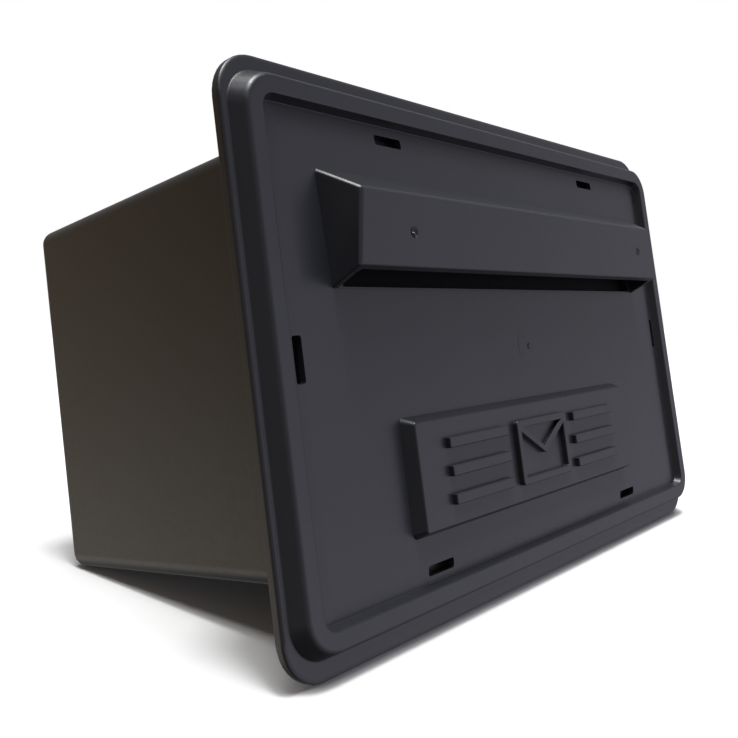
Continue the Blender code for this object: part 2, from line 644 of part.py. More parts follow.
# ---- rear door -------------------------------------------------------------------------------
def rear_door(material, parent):
    centre_z = (DOOR_Z[0] + DOOR_Z[1]) / 2
    half_z = (DOOR_Z[1] - DOOR_Z[0]) / 2
    door = plate_prism("rear_door", (DOOR_HALF, half_z), DOOR_CORNER, (DOOR_FRONT_Y, DOOR_BACK_Y),
                       (0.0, centre_z))
    lip_centre = (0.0, (OPENING_Z[0] + OPENING_Z[1]) / 2)
    lip_half = (OPENING_HALF - DOOR_LIP_PLAY, (OPENING_Z[1] - OPENING_Z[0]) / 2 - DOOR_LIP_PLAY)
    lip_corner = OPENING_CORNER - DOOR_LIP_PLAY
    lip_y = (DOOR_FRONT_Y - DOOR_LIP_DEPTH, DOOR_FRONT_Y + PAST / 2)
    lip = plate_prism("door_lip", lip_half, lip_corner, lip_y, lip_centre)
    cut(lip, plate_prism("lip_inside", (lip_half[0] - DOOR_LIP_THICK, lip_half[1] - DOOR_LIP_THICK),
                         lip_corner - DOOR_LIP_THICK, (lip_y[0] - PAST, lip_y[1] + PAST), lip_centre))
    fuse(door, lip)
    for side in (-1, 1):
        x_range = (side * KNUCKLE_CENTRE - KNUCKLE_HALF, side * KNUCKLE_CENTRE + KNUCKLE_HALF)
        web = box("web", (x_range[0], DOOR_AXIS[0] - WEB_FRONT, DOOR_Z[1] - WEB_ROOT),
                  (x_range[1], DOOR_BACK_Y - ROOT / 4, DOOR_AXIS[1]))
        fuse(door, web, rod_along_x("knuckle", DOOR_AXIS, KNUCKLE_RADIUS, x_range))
        cut(door, rod_along_x("knuckle_bore", DOOR_AXIS, PIN_RADIUS + FIT_GAP,
                              (x_range[0] - PAST, x_range[1] + PAST), 12))
    cut(door, rod_along_y("shaft_hole", (0.0, LATCH_Z), SHAFT_RADIUS + SHAFT_PLAY,
                          (DOOR_FRONT_Y - PAST, DOOR_BACK_Y + PAST)))
    return finish(door, material, parent)


def door_pin(name, side, material, parent):
    """A pin with a head at its outer end."""
    reach = KNUCKLE_HALF + FIT_GAP + DOOR_LUG_THICK
    inner = side * (KNUCKLE_CENTRE - reach - PIN_TAIL)
    outer = side * (KNUCKLE_CENTRE + reach + FIT_GAP)
    pin = rod_along_x(name, DOOR_AXIS, PIN_RADIUS, sorted((inner, outer + side * PAST / 2)))
    fuse(pin, rod_along_x("pin_head", DOOR_AXIS, PIN_HEAD[0], sorted((outer, outer + side * PIN_HEAD[1]))))
    return finish(pin, material, parent)


def pin_clip(name, side, material, parent):
    """The ring on a pin's inner end."""
    near = side * (KNUCKLE_CENTRE - KNUCKLE_HALF - 2 * FIT_GAP - DOOR_LUG_THICK)
    edges = (near, near - side * RING_THICK)
    return ring_on_rod(name, DOOR_AXIS, CLIP_RADIUS, PIN_RADIUS, edges, material, parent)


# ---- latch -----------------------------------------------------------------------------------
def latch_places():
    """Depths of the parts on the inner end of the latch's shaft."""
    lip_inner = DOOR_FRONT_Y - DOOR_LIP_DEPTH
    cam = (lip_inner - CAM_GAP - CAM_THICK, lip_inner - CAM_GAP)
    washer = (cam[0] - FIT_GAP - WASHER_THICK, cam[0] - FIT_GAP)
    screw_head = (washer[0] - FIT_GAP - SCREW_HEAD, washer[0] - FIT_GAP)
    return cam, washer, screw_head


def latch_knob(material, parent):
    cam = latch_places()[0]
    centre = (0.0, LATCH_Z)
    shoulder = cam[1] + FIT_GAP
    knob = rod_along_y("latch_knob", centre, KNOB_RADIUS, (KNOB_Y, KNOB_Y + KNOB_DISC), 32)
    grip_top = (GRIP_HALF[0] - GRIP_DRAFT[0], GRIP_HALF[1] - GRIP_DRAFT[1])
    grip = loft("grip", [
        rounded_rect(*GRIP_HALF, GRIP_CORNER[0], KNOB_Y + PAST, centre, 3),
        rounded_rect(*grip_top, GRIP_CORNER[1], KNOB_END_Y, centre, 3)])
    shaft = rod_along_y("shaft", centre, SHAFT_RADIUS, (shoulder, KNOB_Y + PAST))
    square = box("square", (-SQUARE_HALF, cam[0] + ROOT / 4, LATCH_Z - SQUARE_HALF),
                 (SQUARE_HALF, shoulder + PAST, LATCH_Z + SQUARE_HALF))
    fuse(knob, grip, shaft, square)
    cut(knob, rod_along_y("screw_bore", centre, SCREW_BORE[0], (cam[0] - PAST, cam[1] + SCREW_BORE[1]), 16))
    return finish(knob, material, parent)


def latch_cam(material, parent):
    """The tongue, released: it points across the door and clears the back wall."""
    cam = latch_places()[0]
    nose = [(CAM_LENGTH - CAM_NOSE + CAM_NOSE * math.cos(a),
             LATCH_Z + (CAM_HALF_WIDTH - CAM_TAPER) * math.sin(a))
            for a in [math.radians(angle) for angle in (-90, -45, 0, 45, 90)]]
    heel = [(CAM_HALF_WIDTH * math.cos(a), LATCH_Z + CAM_HALF_WIDTH * math.sin(a))
            for a in [math.radians(angle) for angle in (90, 135, 180, 225, 270)]]
    body = loft("latch_cam", [[Vector((x, y, z)) for x, z in nose + heel] for y in cam])
    hole = SQUARE_HALF + FIT_GAP
    cut(body, box("square_hole", (-hole, cam[0] - PAST, LATCH_Z - hole),
                  (hole, cam[1] + PAST, LATCH_Z + hole)))
    return finish(body, material, parent)


def washer_on_shaft(name, radii, y_range, material, parent):
    """A flat ring round the latch's shaft."""
    centre = (0.0, LATCH_Z)
    ring = rod_along_y(name, centre, radii[0], y_range)
    cut(ring, rod_along_y("ring_bore", centre, radii[1], (y_range[0] - PAST, y_range[1] + PAST)))
    return finish(ring, material, parent)


def latch_screw(material, parent):
    """Pan head with a cross recess, and a plain thread core in the shaft."""
    cam, washer, screw_head = latch_places()
    centre = (0.0, LATCH_Z)
    screw = loft("latch_screw", [
        [Vector((x, screw_head[0] + depth, z)) for x, z in circle(centre, radius, 20)]
        for depth, radius in SCREW_PROFILE])
    fuse(screw, rod_along_y("thread", centre, THREAD_RADIUS,
                            (screw_head[1] - PAST / 2, cam[1] + THREAD_DEPTH), 16))
    for half in (RECESS_ARM, RECESS_ARM[::-1]):
        cut(screw, box("recess", (-half[0], screw_head[0] - PAST, LATCH_Z - half[1]),
                       (half[0], screw_head[0] + RECESS_DEPTH, LATCH_Z + half[1])))
    return finish(screw, material, parent)


# ---- assembly --------------------------------------------------------------------------------
def build():
    clear_scene()
    black_plastic = make_material("black_plastic", (0.021, 0.022, 0.026), 0.38)
    inner_plastic = make_material("inner_plastic", (0.010, 0.010, 0.011), 0.55)
    steel = make_material("bright_steel", (0.58, 0.58, 0.60), 0.32, 1.0)
    spring_steel = make_material("spring_steel", (0.32, 0.32, 0.34), 0.38, 1.0)

    datum = make_empty("plate_datum", (0.0, DATUM_Y, 0.0))
    flap_pivot = make_empty("flap_pivot", (0.0, FLAP_AXIS[0], FLAP_AXIS[1]), datum)
    door_pivot = make_empty("door_pivot", (0.0, DOOR_AXIS[0], DOOR_AXIS[1]), datum)
    latch_pivot = make_empty("latch_pivot", (0.0, KNOB_Y - DOOR_AXIS[0], LATCH_Z - DOOR_AXIS[1]), door_pivot)

    front_plate(black_plastic, datum)
    box_body(black_plastic, datum)
    flap_rod(steel, datum)
    mail_flap(inner_plastic, flap_pivot)
    for word, side in (("left", -1), ("right", 1)):
        rod_cap("rod_cap_" + word, side, steel, datum)
        flap_spring("flap_spring_" + word, side, spring_steel, datum)
        door_pin("door_pin_" + word, side, steel, datum)
        pin_clip("pin_clip_" + word, side, steel, datum)
    rear_door(black_plastic, door_pivot)
    washer_on_shaft("latch_spring_washer", SPRING_WASHER_RADII, WASHER_Y, spring_steel, door_pivot)
    latch_knob(inner_plastic, latch_pivot)
    latch_cam(steel, latch_pivot)
    washer_on_shaft("latch_washer", WASHER_RADII, latch_places()[1], steel, latch_pivot)
    latch_screw(steel, latch_pivot)


build()
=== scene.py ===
import math

import bmesh
import bpy
import numpy as np
from mathutils import Matrix, Vector


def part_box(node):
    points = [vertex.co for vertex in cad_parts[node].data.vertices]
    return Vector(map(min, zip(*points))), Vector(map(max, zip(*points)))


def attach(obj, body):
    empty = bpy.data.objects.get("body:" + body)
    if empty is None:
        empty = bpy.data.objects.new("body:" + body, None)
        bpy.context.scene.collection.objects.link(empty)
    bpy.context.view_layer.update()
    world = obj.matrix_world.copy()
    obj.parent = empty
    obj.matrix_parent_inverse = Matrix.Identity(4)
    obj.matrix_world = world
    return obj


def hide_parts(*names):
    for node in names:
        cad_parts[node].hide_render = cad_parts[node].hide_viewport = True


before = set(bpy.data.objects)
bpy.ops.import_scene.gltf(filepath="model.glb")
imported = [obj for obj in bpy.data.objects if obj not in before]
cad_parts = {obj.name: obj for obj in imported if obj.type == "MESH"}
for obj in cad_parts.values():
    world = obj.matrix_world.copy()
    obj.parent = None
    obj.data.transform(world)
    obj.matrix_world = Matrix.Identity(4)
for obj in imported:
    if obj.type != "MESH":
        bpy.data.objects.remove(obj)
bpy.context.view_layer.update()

# Shapes are written in millimetres from the letter plate's datum: the flange's front plane, at the
# plate's centre, with X across, Y inwards and Z up. to_row_frame() moves them into the row frame.
MM = 0.001
PAST = 1.0                          # how far a cutter runs past the face it cuts
ROOT = 0.8                          # how deep an ear or hook is rooted in the panel

PLATE_HALF = (125.0, 80.0)          # half width and half height of the flange
PLATE_CORNER = 13.0
FLANGE_THICK = 3.0
PANEL_FRONT = -2.8
PANEL_BACK = -0.6
TRAY_HALF = (118.0, 71.8)           # hollow behind the plate that takes the box's flange
TRAY_CORNER = 7.0
RIM_CENTRE = (0.0, 0.5)
RIM_FRONT = -5.0
RIM_HALF = (120.4, 73.0)            # at the rim's front face
RIM_FLARE = (2.7, 1.8)              # how much further out the rim's foot is
RIM_WIDTH = 5.1
RIM_CORNERS = (10.4, 10.0, 4.5)     # at the foot, the outer edge and the inner edge
RECESS_DRAFT = 1.1
RECESS_CORNERS = (3.4, 2.0, 1.6)    # at the recess's foot and at the gutter's and the skin's inner end
GUTTER_DEPTH = 0.7                  # the panel's border is a little deeper than the panel
GUTTER_WIDTH = 5.0
GUTTER_BLEND = 3.0

# edges of the hood: half width, depth and height
HOOD_FRONT_Y = -14.8
HOOD_FACE_TOP = (92.6, HOOD_FRONT_Y, 43.5)
HOOD_FACE_LOW = (95.8, -13.8, 22.8)
HOOD_ROOT_TOP = (97.3, PANEL_FRONT + PAST, 51.6)
HOOD_ROOT_LOW = (95.7, PANEL_FRONT + PAST, 17.9)
HOOD_WALL = 2.0
HOOD_ROUNDING = 1.1
HOLLOW_ROOT_HALF = 93.7
HOLLOW_ROOT_TOP_Z = 47.7
HOLLOW_LOW_Y = -11.4
HOLLOW_LOW_Z = 15.4                 # below the hood's edge, so the hood is open underneath
SLOT_HALF = 91.5
SLOT_Z = (18.8, 46.2)
HOOD_MARKS = ((-71.7, 32.5), (80.2, 33.5))
GATE_MARK = (2.2, -1.1)

PLAQUE_CENTRE = (-6.0, -35.8)
PLAQUE_HALF = (69.0, 17.2)
PLAQUE_DRAFT = 1.7
PLAQUE_FRONT = -7.1
PLAQUE_WALL = 2.0
RELIEF_FRONT = -8.9
RELIEF_ROOT = -6.5
SIGN_HALF = (16.5, 10.5)
SIGN_LINE = 2.4
BAR_HALF = 16.0
BAR_WIDTH = 3.2
BAR_OUT = 38.0                      # from the plaque's centre to a bar's middle
BAR_PITCH = 8.2

# the six windows: x, z and the side of the plate that they are on
WINDOWS = [(sx * 63.5, sz * 62.7, 0, sz) for sx in (-1, 1) for sz in (-1, 1)]
WINDOWS += [(sx * 111.1, 0.0, sx, 0) for sx in (-1, 1)]
WINDOW_HALF = (6.2, 1.5)
HOOK_HALF = 5.5
HOOK_OUT = (3.3, 5.1)               # how far outside the window's middle the finger stands
HOOK_END = 5.2
BARB_HALF = 5.0
BARB_OUT = (0.3, 3.9)
BARB_Y = (2.6, 4.9)

FLAP_ROD = (2.7, 52.2)              # depth and height of the rod that the mail flap turns on
ROD_BORE = 1.55
LUG_RADIUS = 3.0
FLAP_LUG_X = (96.5, 99.3)
FLAP_LUG_LOW_Z = 48.8
FLAP_HALF = 95.0
FLAP_Y = (-0.3, 1.5)
FLAP_Z = (15.6, 51.6)
FLAP_LIP_Y = 3.1
FLAP_LIP_Z = 17.2
BARREL_RADIUS = 2.9
BARREL_SPANS = ((-FLAP_HALF, -52.0), (-38.0, 38.0), (52.0, FLAP_HALF))
NOTCH_X = 45.0                      # middle of the notch that a spring sits in
NOTCH_HALF = 7.0
NOTCH_Z = (48.5, 53.2)

BOX_FRONT = 2.3                     # where the walls leave the box's flange
BOX_BACK = 127.5
BOX_HALF = (106.8, 61.3)            # at BOX_FRONT; the walls close in towards the back
BOX_DRAFT = math.tan(math.radians(0.75))
BOX_CENTRE = (0.0, 1.2)
BOX_WALL = 2.5
BOX_CORNERS = (2.5, 5.0)            # inside and outside
BOX_EDGES = (1.5, 4.0)              # round the back wall, inside and outside
BOX_FLANGE_HALF = (117.6, 71.4)
BOX_FLANGE_CORNER = 6.6
BOX_FLANGE_Y = (-0.3, BOX_FRONT)
OPENING_HALF = (82.0, 42.5)
OPENING_CORNER = 5.0
CATCH_HALF = 6.3                    # the slot that a hook's finger passes
CATCH_IN = 3.0
CATCH_OUT = (6.0, 10.0)             # at the top and bottom, and at the sides
POCKET_HALF = (6.5, 1.8)            # the blind pocket behind a window
POCKET_Y = 1.7

DOOR_CENTRE = (0.0, -0.5)
DOOR_Y = (127.8, 130.3)
DOOR_HALF = (88.0, 48.5)
DOOR_CORNER = 6.0
DOOR_LIP_HALF = (81.4, 41.9)
DOOR_LIP_CORNER = 4.4
DOOR_LIP_WIDTH = 2.0
DOOR_LIP_REACH = 4.0
DOOR_PIN = (131.5, 52.5)            # depth and height of the hinge pins
PIN_BORE = 1.8
HINGE_X = 60.0
KNUCKLE_HALF = 8.0
DOOR_LUG_INNER = 8.3                # from the hinge's middle to a lug
DOOR_LUG_WIDTH = 4.5
DOOR_LUG_ROOT_Y = 126.0
WEB_Y = (128.7, 130.1)
WEB_LOW_Z = 47.0

LATCH_CENTRE = (0.0, -35.0)
LATCH_HOLE = 5.0
KNOB_RADIUS = 11.0
KNOB_Y = (131.4, 134.4)
GRIP_ROOT_Y = 132.4
GRIP_END_Y = 143.4
SHAFT_RADIUS = 4.6
SHAFT_END_Y = 123.6
SQUARE_HALF = 3.0
SQUARE_Y = (121.0, 124.6)
SCREW_BORE = 1.8
SCREW_BORE_Y = (119.8, 130.3)

DATUM_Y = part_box("front_plate")[0].y - HOOD_FRONT_Y * MM


# ---- mesh building -----------------------------------------------------------------------------
SMALLEST_CORNER = 0.02
MERGE_DISTANCE = 0.0008
DEGENERATE_EDGE = 0.0004
SHARP_ANGLE = math.radians(34.0)
FLAT_FACE_WEIGHT = 60


def link(name, mesh):
    obj = bpy.data.objects.new(name, mesh)
    bpy.context.scene.collection.objects.link(obj)
    return obj


def from_bmesh(name, bm):
    bmesh.ops.recalc_face_normals(bm, faces=bm.faces)
    mesh = bpy.data.meshes.new(name)
    bm.to_mesh(mesh)
    bm.free()
    return link(name, mesh)


def rounded_rect(half_x, half_z, radius, y, centre=(0.0, 0.0), steps=8):
    """A loop in the plane at depth y, with its corners as arcs."""
    loop = []
    for quarter, (sx, sz) in enumerate(((1, 1), (-1, 1), (-1, -1), (1, -1))):
        cx = centre[0] + sx * (half_x - radius)
        cz = centre[1] + sz * (half_z - radius)
        for step in range(steps + 1):
            angle = math.pi / 2 * (quarter + step / steps)
            loop.append((cx + radius * math.cos(angle), y, cz + radius * math.sin(angle)))
    return loop


def loft(name, loops, caps=True):
    """A skin through loops of equal length. Without caps, the last loop joins the first."""
    bm = bmesh.new()
    rings = [[bm.verts.new(point) for point in loop] for loop in loops]
    pairs = list(zip(rings, rings[1:]))
    if not caps:
        pairs.append((rings[-1], rings[0]))
    for low, high in pairs:
        for i in range(len(low)):
            j = (i + 1) % len(low)
            bm.faces.new((low[i], low[j], high[j], high[i]))
    if caps:
        bm.faces.new(rings[0])
        bm.faces.new(rings[-1])
    return from_bmesh(name, bm)


def filleted(path, radii, steps):
    """Rounds the corners of a path. Each point is (inset, depth, other values that follow along)."""
    points = [np.array(p, float) for p in path]
    out = [points[0]]
    for before, here, after, radius in zip(points, points[1:], points[2:], radii):
        if radius <= 0:
            out.append(here)
            continue
        a, b = before - here, after - here
        a, b = a / np.hypot(*a[:2]), b / np.hypot(*b[:2])
        u, v = a[:2], b[:2]
        half = math.acos(float(np.clip(np.dot(u, v), -1, 1))) / 2
        reach = radius / math.tan(half)
        centre = (u + v) / np.linalg.norm(u + v) * radius / math.sin(half)
        start, end = u * reach - centre, v * reach - centre
        sweep = math.pi - 2 * half
        basis = np.linalg.inv(np.array([u, v]).T)
        for step in range(steps + 1):
            t = sweep * step / steps
            spot = centre + (start * math.sin(sweep - t) + end * math.sin(t)) / math.sin(sweep)
            along = basis @ spot
            out.append(here + along[0] * a + along[1] * b)
    out.append(points[-1])
    return out


def station(half, y, corner, centre=(0.0, 0.0)):
    """One point of a path for frame_loops: a rounded rectangle at depth y."""
    return (half[0], y, half[1], corner, *centre)


def shrunk(half, inset):
    return (half[0] - inset, half[1] - inset)


def frame_loops(path, radii, steps=4, corner_steps=8):
    """Loops through a path of stations, the path's corners rounded by the radii."""
    return [rounded_rect(p[0], p[2], max(p[3], SMALLEST_CORNER), p[1], (p[4], p[5]), corner_steps)
            for p in filleted(path, radii, steps)]


def box(name, low, high):
    corners = [(low[0], low[2]), (high[0], low[2]), (high[0], high[2]), (low[0], high[2])]
    return loft(name, [[(x, y, z) for x, z in corners] for y in (low[1], high[1])])


def bake(obj):
    """Apply the object's modifiers."""
    bpy.context.view_layer.update()
    evaluated = obj.evaluated_get(bpy.context.evaluated_depsgraph_get())
    result = bpy.data.meshes.new_from_object(evaluated)
    obj.modifiers.clear()
    obj.data = result
    return obj


def rounded(obj, width, segments=3, share=None):
    """Rounds a plain solid's edges. share(a, b) says how much of the width the edge a-b gets."""
    mesh = obj.data
    weights = mesh.attributes.new("bevel_weight_edge", "FLOAT", "EDGE")
    for edge, weight in zip(mesh.edges, weights.data):
        a, b = (mesh.vertices[i].co for i in edge.vertices)
        weight.value = 1.0 if share is None else float(share(a, b))
    bevel = obj.modifiers.new("bevel", "BEVEL")
    bevel.limit_method = "WEIGHT"
    bevel.width = width
    bevel.segments = segments
    return bake(obj)


def across_x(a, b):
    """True for an edge in a plane across X, such as the rim of a rod's end."""
    return abs(a.x - b.x) < 0.01


def circle(centre, radius, sides):
    return [(centre[0] + radius * math.cos(2 * math.pi * i / sides),
             centre[1] + radius * math.sin(2 * math.pi * i / sides)) for i in range(sides)]


def arc(centre, radius, degrees):
    return [(centre[0] + radius * math.cos(math.radians(d)),
             centre[1] + radius * math.sin(math.radians(d))) for d in degrees]


def sweep_x(name, outline, x_range):
    return loft(name, [[(x, y, z) for y, z in outline] for x in x_range])


def rod_x(name, centre, radius, x_range, sides=32):
    return sweep_x(name, circle(centre, radius, sides), x_range)


def bore_x(centre, radius, x_range):
    return rod_x("bore", centre, radius, (x_range[0] - PAST, x_range[1] + PAST))


def turned_y(name, centre, profile, sides=48):
    """A solid of revolution about Y, from (radius, depth) points, with flat ends."""
    return loft(name, [[(x, y, z) for x, z in circle(centre, radius, sides)] for radius, y in profile])


def combine(target, tool, operation):
    modifier = target.modifiers.new("combine", "BOOLEAN")
    modifier.operation = operation
    modifier.solver = "EXACT"
    modifier.object = tool
    bake(target)
    bpy.data.objects.remove(tool, do_unlink=True)


def fuse(target, *tools):
    for tool in tools:
        combine(target, tool, "UNION")


def cut(target, *tools):
    for tool in tools:
        combine(target, tool, "DIFFERENCE")


def finish_mesh(obj):
    """Clean up after the booleans, then smooth the fillets while the flat faces stay flat."""
    bm = bmesh.new()
    bm.from_mesh(obj.data)
    bmesh.ops.remove_doubles(bm, verts=bm.verts, dist=MERGE_DISTANCE)
    bmesh.ops.dissolve_degenerate(bm, edges=bm.edges, dist=DEGENERATE_EDGE)
    bm.to_mesh(obj.data)
    bm.free()
    obj.data.shade_smooth()
    obj.data.set_sharp_from_angle(angle=SHARP_ANGLE)
    weighted = obj.modifiers.new("weighted", "WEIGHTED_NORMAL")
    weighted.keep_sharp = True
    weighted.weight = FLAT_FACE_WEIGHT
    bake(obj)


def to_row_frame(obj):
    obj.data.transform(Matrix.Translation((0.0, DATUM_Y, 0.0)) @ Matrix.Scale(MM, 4))


def piece(obj, material, body, nodes):
    """Smooth, place, colour and attach a finished mesh."""
    finish_mesh(obj)
    to_row_frame(obj)
    obj.data.materials.clear()
    obj.data.materials.append(material)
    for polygon in obj.data.polygons:
        polygon.material_index = 0
    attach(obj, body)
    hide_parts(*nodes)
    return obj


# ---- materials ---------------------------------------------------------------------------------
class Nodes:
    """Short names for building a material's nodes."""

    def __init__(self, name):
        self.material = bpy.data.materials.new(name)
        self.material.use_nodes = True
        self.tree = self.material.node_tree
        self.shader = self.tree.nodes["Principled BSDF"]
        self.place = self.add("ShaderNodeTexCoord").outputs["Object"]

    def add(self, kind):
        return self.tree.nodes.new(kind)

    def link(self, source, target):
        self.tree.links.new(source, target)

    def stretched(self, scale):
        node = self.add("ShaderNodeMapping")
        node.inputs["Scale"].default_value = scale
        self.link(self.place, node.inputs["Vector"])
        return node.outputs["Vector"]

    def noise(self, scale, detail=2.0, roughness=0.5, vector=None):
        node = self.add("ShaderNodeTexNoise")
        node.inputs["Scale"].default_value = scale
        node.inputs["Detail"].default_value = detail
        node.inputs["Roughness"].default_value = roughness
        self.link(self.place if vector is None else vector, node.inputs["Vector"])
        return node.outputs["Fac"]

    def ramp(self, value, low, high):
        """Spreads a noise value over low to high."""
        node = self.add("ShaderNodeMapRange")
        node.inputs["From Min"].default_value = 0.3
        node.inputs["From Max"].default_value = 0.7
        node.inputs["To Min"].default_value = low
        node.inputs["To Max"].default_value = high
        self.link(value, node.inputs["Value"])
        return node.outputs["Result"]

    def blend(self, value, *colours):
        """Turns a noise value into a mix of two colours."""
        node = self.add("ShaderNodeValToRGB")
        for stop, place, colour in zip(node.color_ramp.elements, (0.35, 0.65), colours):
            stop.position = place
            stop.color = (*colour, 1.0)
        self.link(value, node.inputs["Fac"])
        return node.outputs["Color"]

    def bump(self, height, strength, distance, under=None):
        node = self.add("ShaderNodeBump")
        node.inputs["Strength"].default_value = strength
        node.inputs["Distance"].default_value = distance
        self.link(height, node.inputs["Height"])
        if under is not None:
            self.link(under, node.inputs["Normal"])
        return node.outputs["Normal"]

    def base(self, colour, roughness, normal=None, **numbers):
        """Joins the sockets to the shader and sets its plain numbers; returns the material."""
        self.link(colour, self.shader.inputs["Base Color"])
        self.link(roughness, self.shader.inputs["Roughness"])
        if normal is not None:
            self.link(normal, self.shader.inputs["Normal"])
        for key, value in numbers.items():
            self.shader.inputs[key.replace("_", " ")].default_value = value
        return self.material


def moulded_plastic(name, dark, light, rough, grain, **numbers):
    """Injection-moulded plastic: a fine spark-eroded grain over slow waviness, uneven in gloss."""
    n = Nodes(name)
    clouds = n.noise(18.0, 3.0)
    speckle = n.noise(700.0, 2.0)
    skin = n.noise(2600.0, 2.0, 0.6)
    waves = n.noise(30.0, 1.0)
    colour = n.blend(clouds, dark, light)
    gloss = n.ramp(speckle, rough - 0.03, rough + 0.04)
    normal = n.bump(waves, 0.12, 0.0008)
    normal = n.bump(skin, grain, 0.00006, normal)
    return n.base(colour, gloss, normal, **numbers)


def turned_steel(name, light, dark, rough):
    """Zinc-plated steel: fine drawn lines along X and a slightly cloudy plating."""
    n = Nodes(name)
    lines = n.noise(900.0, 2.0, 0.5, n.stretched((0.04, 1.0, 1.0)))
    clouds = n.noise(260.0, 3.0)
    colour = n.blend(clouds, dark, light)
    gloss = n.ramp(lines, rough - 0.06, rough + 0.08)
    normal = n.bump(lines, 0.15, 0.00003)
    return n.base(colour, gloss, normal, Metallic=1.0)


BLACK = moulded_plastic("moulded_black", (0.0190, 0.0200, 0.0250), (0.0220, 0.0232, 0.0285), 0.35, 0.22)
BOX_BLACK = moulded_plastic("moulded_box", (0.0190, 0.0185, 0.0175), (0.0230, 0.0225, 0.0215), 0.36, 0.20)
# painted shade: the mail flap gets a black about ten times darker than the plate's, with little gloss, so
# the flap seen through the slot and under the hood shows as the deep shade inside the box
FLAP_SHADE_BLACK = moulded_plastic("moulded_flap_painted_shade", (0.0020, 0.0020, 0.0025), (0.0032, 0.0032, 0.0037), 0.62, 0.30,
                        Specular_IOR_Level=0.10)
STEEL = turned_steel("plated_steel", (0.62, 0.62, 0.64), (0.50, 0.50, 0.52), 0.30)
SPRING = turned_steel("spring_steel_wire", (0.38, 0.38, 0.40), (0.28, 0.28, 0.30), 0.36)


# ---- letter plate ------------------------------------------------------------------------------
def plate_skin():
    """Back of the panel, tray, flange, rim, recess and panel front, as one rounded skin."""
    foot = RIM_WIDTH + RECESS_DRAFT
    gutter = foot + GUTTER_WIDTH
    rim_foot = (RIM_HALF[0] + RIM_FLARE[0], RIM_HALF[1] + RIM_FLARE[1])
    path = [
        station(TRAY_HALF, PANEL_BACK, TRAY_CORNER, RIM_CENTRE),
        station(TRAY_HALF, FLANGE_THICK, TRAY_CORNER, RIM_CENTRE),
        station(PLATE_HALF, FLANGE_THICK, PLATE_CORNER),
        station(PLATE_HALF, 0.0, PLATE_CORNER),
        station(rim_foot, 0.0, RIM_CORNERS[0], RIM_CENTRE),
        station(RIM_HALF, RIM_FRONT, RIM_CORNERS[1], RIM_CENTRE),
        station(shrunk(RIM_HALF, RIM_WIDTH), RIM_FRONT, RIM_CORNERS[2], RIM_CENTRE),
        station(shrunk(RIM_HALF, foot), PANEL_FRONT + GUTTER_DEPTH, RECESS_CORNERS[0], RIM_CENTRE),
        station(shrunk(RIM_HALF, gutter), PANEL_FRONT, RECESS_CORNERS[1], RIM_CENTRE),
        station(shrunk(RIM_HALF, gutter + GUTTER_BLEND), PANEL_FRONT, RECESS_CORNERS[2], RIM_CENTRE)]
    radii = [0.25, 0.2, 1.2, 0.8, 2.0, 0.6, 0.2, 36.0]
    return loft("letter_plate", frame_loops(path, radii, steps=5, corner_steps=10))


def four_corners(top, low):
    """Corners from two edges, each (half width, depth, height), beginning at the top left."""
    return [(-top[0], *top[1:]), top, low, (-low[0], *low[1:])]


def hood_solid():
    """The wedge over the slot, its free edges rounded."""
    middle_y, middle_z = -10.0, 30.0

    def share(a, b):
        if min(a.y, b.y) > middle_y:
            return 0.0
        if max(a.z, b.z) < middle_z:
            return 0.4
        return 1.0 if max(a.y, b.y) < middle_y else 0.9

    wedge = loft("hood", [four_corners(HOOD_FACE_TOP, HOOD_FACE_LOW),
                          four_corners(HOOD_ROOT_TOP, HOOD_ROOT_LOW)])
    return rounded(wedge, HOOD_ROUNDING, 5, share)


def hood_hollow():
    """The space under the hood, run on through its open underside."""
    back = PANEL_FRONT - 0.1
    half, y, z = HOOD_FACE_TOP
    face_top = (half - HOOD_WALL, y + HOOD_WALL, z - HOOD_WALL)
    face_low = (HOOD_FACE_LOW[0] - HOOD_WALL, HOLLOW_LOW_Y, HOLLOW_LOW_Z)
    return loft("hollow", [four_corners(face_top, face_low),
                           four_corners((HOLLOW_ROOT_HALF, back, HOLLOW_ROOT_TOP_Z),
                                        (HOLLOW_ROOT_HALF, back, HOLLOW_LOW_Z))])


def slot_cutter():
    low, high = SLOT_Z
    return box("slot", (-SLOT_HALF, PANEL_FRONT - ROOT, low), (SLOT_HALF, PANEL_BACK + PAST, high))


def plaque_solid():
    face = shrunk(PLAQUE_HALF, PLAQUE_DRAFT)
    path = [station(PLAQUE_HALF, PANEL_FRONT + PAST, 1.8, PLAQUE_CENTRE),
            station(PLAQUE_HALF, PANEL_FRONT, 1.8, PLAQUE_CENTRE),
            station(face, PLAQUE_FRONT, 1.0, PLAQUE_CENTRE),
            station(shrunk(face, 3.3), PLAQUE_FRONT, 0.5, PLAQUE_CENTRE)]
    return loft("plaque", frame_loops(path, [0.0, 0.7], 5, 5))


def plaque_hollow():
    inside = shrunk(PLAQUE_HALF, PLAQUE_WALL)
    path = [station(inside, PANEL_BACK + PAST, 1.0, PLAQUE_CENTRE),
            station(shrunk(inside, PLAQUE_DRAFT), PLAQUE_FRONT + 2.2, 1.0, PLAQUE_CENTRE)]
    return loft("plaque_hollow", frame_loops(path, [], 1, 4))


def stroke(start, end, width):
    """One raised line on the plaque's face, its front edges rounded."""
    (x0, z0), (x1, z1) = start, end
    length = math.hypot(x1 - x0, z1 - z0)
    ax, az = (x1 - x0) / length, (z1 - z0) / length
    across = (-az * width / 2, ax * width / 2)
    outline = [(x0 - across[0], z0 - across[1]), (x1 - across[0], z1 - across[1]),
               (x1 + across[0], z1 + across[1]), (x0 + across[0], z0 + across[1])]
    solid = loft("stroke", [[(x, y, z) for x, z in outline] for y in (RELIEF_FRONT, RELIEF_ROOT)])
    return rounded(solid, 0.4, 3, lambda a, b: min(a.y, b.y) < PLAQUE_FRONT)


